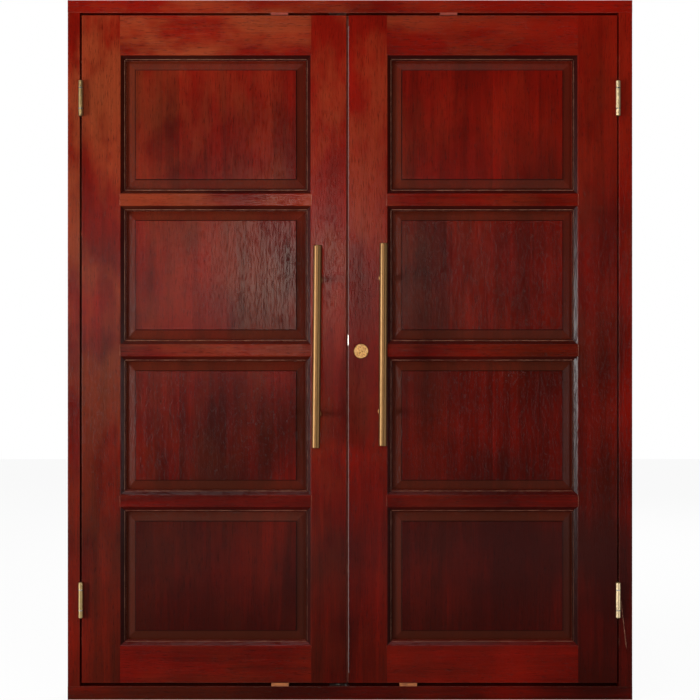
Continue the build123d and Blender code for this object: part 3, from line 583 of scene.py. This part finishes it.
def add_box(whole, *spans):
    """Add a box that fills a span along each axis."""
    middle = [(low + high) / 2 for low, high in spans]
    size = [high - low for low, high in spans]
    bmesh.ops.create_cube(
        whole, size=1.0, matrix=Matrix.Translation(middle) @ Matrix.Diagonal((*size, 1.0))
    )


# Screws with real slots, in place of the plain ones
screw_head_r = 0.0044
screw_head_h = 0.0024
screw_r = 0.0022
screw_rim = 0.0002
screw_tip_l = 0.004
slot_w = 0.0011
slot_d = 0.0009
hinge_screw_l = 0.030
small_screw_l = 0.016

# Where the screws go in: plate faces and edge plates by X, rows by height, roses by Y
left_frame_plate_x = -0.8075
left_leaf_plate_x = -0.805
left_edge_x = -0.0124
right_frame_plate_x = 0.8035
right_leaf_plate_x = 0.8025
right_edge_x = -0.0023
hinge_screw_back = 0.024
hinge_screw_pitch = 0.034
hinge_screw_stagger = 0.005
lock_screw_heights = (1.001, 1.127)
flush_bolt_screw_heights = (1.886, 2.042, 0.063, 0.219)
front_rose_y = -0.052
back_rose_y = 0.002
rose_screw_out = 0.0145


def slotted_screw(length, turn):
    """A countersunk slotted screw along +Z with its head's face at the origin."""
    outline = [
        (0.0, 0.0), (screw_head_r - screw_rim, 0.0), (screw_head_r, screw_rim), (screw_r, screw_head_h),
        (screw_r, length - screw_tip_l), (0.0, length),
    ]
    shape = spun(outline, 20, False)
    for way in (-1, 1):
        bmesh.ops.bisect_plane(
            shape, geom=shape.verts[:] + shape.edges[:] + shape.faces[:],
            plane_co=(way * slot_w / 2, 0, 0), plane_no=(1, 0, 0),
        )
    bmesh.ops.recalc_face_normals(shape, faces=shape.faces)
    slot_faces = [
        face for face in shape.faces
        if face.normal.z < -0.9 and abs(face.calc_center_median().x) < slot_w / 2
    ]
    sunk = bmesh.ops.extrude_face_region(shape, geom=slot_faces)
    bmesh.ops.delete(shape, geom=slot_faces, context="FACES")
    moved = [item for item in sunk["geom"] if isinstance(item, bmesh.types.BMVert)]
    bmesh.ops.translate(shape, verts=moved, vec=(0, 0, slot_d))
    bmesh.ops.rotate(shape, verts=shape.verts, cent=(0, 0, 0), matrix=Matrix.Rotation(turn, 3, "Z"))
    return shape


def screw_set(places, name, body, node):
    """Slotted screws at places of (spot, direction, length)."""
    rng = random.Random(name)
    whole = bmesh.new()
    for spot, direction, length in places:
        screw = slotted_screw(length, rng.uniform(0, math.pi))
        turned = Vector((0, 0, 1)).rotation_difference(Vector(direction)).to_matrix().to_4x4()
        bmesh.ops.transform(screw, verts=screw.verts, matrix=Matrix.Translation(spot) @ turned)
        join(whole, screw)
    piece = finished_piece(whole, name, screw_brass, body)
    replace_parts(piece, node)


def hinge_screws(face_x, way):
    """Places of the screws in one side's two hinges, from the plates' face and the way they go in."""
    places = []
    for middle in hinge_heights:
        for row, shifted in ((-1, -1), (0, 1), (1, -1)):
            back = hinge_screw_back + shifted * hinge_screw_stagger
            spot = (face_x, hinge_axis_y + back, middle + row * hinge_screw_pitch)
            places.append((spot, (way, 0, 0), hinge_screw_l))
    return places


def edge_screws(face_x, way, heights):
    return [((face_x, leaf_mid_y, height), (way, 0, 0), small_screw_l) for height in heights]


rose_screws = []
for rose_face_y, way in ((front_rose_y, 1), (back_rose_y, -1)):
    for across in (-rose_screw_out, rose_screw_out):
        rose_screws.append(((lock_x + across, rose_face_y, rose_z), (0, way, 0), small_screw_l))

frame_places = hinge_screws(left_frame_plate_x, -1) + hinge_screws(right_frame_plate_x, 1)
screw_set(frame_places, "frame_screws", "frame", "frame_hinge_screws")
left_places = hinge_screws(left_leaf_plate_x, 1)
left_places += edge_screws(left_edge_x, -1, lock_screw_heights + flush_bolt_screw_heights)
screw_set(left_places, "left_screws", "left_leaf", "left_leaf_screws")
right_places = hinge_screws(right_leaf_plate_x, -1) + rose_screws
right_places += edge_screws(right_edge_x, 1, lock_screw_heights)
screw_set(right_places, "right_screws", "right_leaf", "right_leaf_screws")

# Hinge bearings: two races with a groove between them
race = [
    (0.00356, -0.0013), (0.0066, -0.0013), (0.00685, -0.0011), (0.00685, -0.0004), (0.0062, -0.0002),
    (0.0062, 0.0002), (0.00685, 0.0004), (0.00685, 0.0011), (0.0066, 0.0013), (0.00356, 0.0013),
]
bearings = bmesh.new()
for axis_x in (left_axis_x, right_axis_x):
    for middle in hinge_heights:
        for joint in (1, 4):
            ring = spun(race, 32, True)
            bmesh.ops.recalc_face_normals(ring, faces=ring.faces)
            joint_z = middle - hinge_length / 2 + joint * knuckle_length
            bmesh.ops.translate(ring, verts=ring.verts, vec=(axis_x, hinge_axis_y, joint_z))
            join(bearings, ring)
bearing_races = finished_piece(bearings, "bearing_races", race_steel, "frame")
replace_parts(bearing_races, "hinge_bearings")

# Brush seal: a carrier, a thin core, and a pile whose tips wander a little
seal_y = -0.041
seal_foot, seal_head = 0.053, 2.052
carrier_back_x, carrier_face_x = -0.0155, -0.01084
core_back_x, core_tip_x = -0.0109, -0.0043
pile_back_x = -0.01083
seal_half_t = 0.0025
core_half_t = 0.0007
tuft_count = 25
tuft_rows = 60

# In front of the deadbolt the core is shorter and the pile is cut away
notch_foot, notch_head = 1.064, 1.096
notch_core_x = -0.0074
notch_play = 0.0008

seal = bmesh.new()
carrier_span = (seal_y - seal_half_t, seal_y + seal_half_t)
core_span = (seal_y - core_half_t, seal_y + core_half_t)
add_box(seal, (carrier_back_x, carrier_face_x), carrier_span, (seal_foot, seal_head))
bmesh.ops.bevel(
    seal, geom=seal.edges[:], offset=0.0006, affect="EDGES", segments=2, profile=0.5, material=-1
)
for foot, head, tip_x in (
    (seal_foot, notch_foot, core_tip_x),
    (notch_foot, notch_head, notch_core_x),
    (notch_head, seal_head, core_tip_x),
):
    add_box(seal, (core_back_x, tip_x), core_span, (foot, head))

rng = random.Random("brush")
tuft_length = (seal_head - seal_foot) / tuft_count
tuft = bmesh.new()
for number in range(tuft_rows):
    height = (number + 0.5) * tuft_length / tuft_rows
    for row in (-core_half_t, core_half_t):
        reach = rng.uniform(0.0059, 0.0064)
        bristle_y = seal_y + row + rng.uniform(-0.0003, 0.0003)
        place = Matrix.Translation((pile_back_x + reach / 2, bristle_y, height))
        lean = Matrix.Rotation(math.pi / 2 + rng.uniform(-0.12, 0.12), 4, "Y")
        bmesh.ops.create_cone(
            tuft, cap_ends=False, segments=4, radius1=0.0005, radius2=0.0002, depth=1.0,
            matrix=place @ lean @ Matrix.Diagonal((1.0, 1.0, reach, 1.0)),
        )
tuft_mesh = bpy.data.meshes.new("one tuft")
pile = bmesh.new()
for number in range(tuft_count):
    bmesh.ops.translate(tuft, verts=tuft.verts, vec=(0, 0, tuft_length if number else seal_foot))
    tuft.to_mesh(tuft_mesh)
    pile.from_mesh(tuft_mesh)
tuft.free()
bpy.data.meshes.remove(tuft_mesh)
cut_away = {
    vert for vert in pile.verts if notch_foot - notch_play < vert.co.z < notch_head + notch_play
}
for step in range(3):
    cut_away |= {edge.other_vert(vert) for vert in cut_away for edge in vert.link_edges}
bmesh.ops.delete(pile, geom=list(cut_away), context="VERTS")
join(seal, pile)
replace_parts(finished_piece(seal, "brush_seal", dark_pile, "left_leaf"), "meeting_seal")


# Floor, world and lamps
def open_air(finish):
    """1 where the background is seen straight or through something, and a little in gloss."""
    seen = finish.add("ShaderNodeLightPath", {}, {}, "Is Camera Ray")
    mirrored = finish.add("ShaderNodeLightPath", {}, {}, "Is Glossy Ray")
    through = finish.add("ShaderNodeLightPath", {}, {}, "Is Transmission Ray")
    return seen.larger((mirrored * 0.06).larger(through))


floor_shape = bmesh.new()
bmesh.ops.create_grid(floor_shape, x_segments=1, y_segments=1, size=9.0)
floor_mesh = bpy.data.meshes.new("studio floor")
floor_shape.to_mesh(floor_mesh)
floor_shape.free()
studio_floor = bpy.data.objects.new("studio_floor", floor_mesh)
bpy.context.scene.collection.objects.link(studio_floor)
floor_finish = new_finish("studio floor")
floor_grey = floor_finish.add("ShaderNodeBsdfDiffuse", {}, {"Color": (0.45, 0.45, 0.45, 1.0)})
floor_glow = floor_finish.add("ShaderNodeEmission", {}, {"Color": white, "Strength": 1.09})
floor_share = open_air(floor_finish) * 0.86
floor_mix = floor_finish.add("ShaderNodeMixShader", {}, {0: floor_share, 1: floor_grey, 2: floor_glow})
floor_mesh.materials.append(floor_finish.close(floor_mix))

air = Finish(bpy.data.worlds.new("studio"))
air_seen = air.add("ShaderNodeLightPath", {}, {}, "Is Camera Ray")
air_light = air.add("ShaderNodeBackground", {}, {"Color": white, "Strength": 0.12})
air_white = air.add("ShaderNodeBackground", {}, {"Color": white, "Strength": 1.0})
air_mix = air.add("ShaderNodeMixShader", {}, {0: air_seen, 1: air_light, 2: air_white})
bpy.context.scene.world = air.close(air_mix, "ShaderNodeOutputWorld")


def lamp(name, spot, aim, size, power, tint=(1.0, 1.0, 1.0)):
    """A soft square lamp that faces a point."""
    data = bpy.data.lights.new(name, "AREA")
    data.shape = "RECTANGLE"
    data.size, data.size_y = size
    data.energy = power
    data.color = tint
    lamp_object = bpy.data.objects.new(name, data)
    lamp_object.location = spot
    lamp_object.rotation_euler = (Vector(aim) - Vector(spot)).to_track_quat("-Z", "Y").to_euler()
    bpy.context.scene.collection.objects.link(lamp_object)


warm = (1.0, 0.91, 0.8)
lamp("left lamp", (-4.6, -2.4, 1.0), (0.0, 0.0, 1.1), (1.2, 1.5), 270.0)
lamp("right lamp", (4.6, -3.0, 0.6), (0.0, 0.0, 1.1), (1.2, 1.2), 62.0)
lamp("top lamp", (-0.5, -2.0, 5.0), (0.0, 0.0, 1.6), (3.0, 1.0), 60.0)
lamp("sheen lamp", (-0.42, -4.8, 1.6), (-0.2, 0.0, 1.3), (0.6, 0.6), 56.0, warm)
lamp("stile sheen lamp", (-1.62, -4.8, 1.3), (-0.75, 0.0, 1.1), (0.3, 0.9), 11.0, warm)
lamp("low lamp", (0.0, -2.3, 0.05), (0.0, 0.0, 1.5), (2.8, 0.4), 5.0)
lamp("back lamp", (1.2, 4.0, 3.4), (0.0, 0.0, 1.0), (2.4, 2.4), 110.0)

# Camera straight in front, with a lens that fills the picture with the doors' height
camera_distance = 4.1
camera_data = bpy.data.cameras.new("front camera")
camera_data.sensor_width = 36.0
camera_data.lens = camera_data.sensor_width * camera_distance / door_height
camera = bpy.data.objects.new("front camera", camera_data)
camera.location = (0.0, frame_face_y - camera_distance, door_height / 2)
camera.rotation_euler = (math.pi / 2, 0.0, 0.0)
bpy.context.scene.collection.objects.link(camera)
bpy.context.scene.camera = camera
bpy.context.scene.view_settings.view_transform = "Standard"
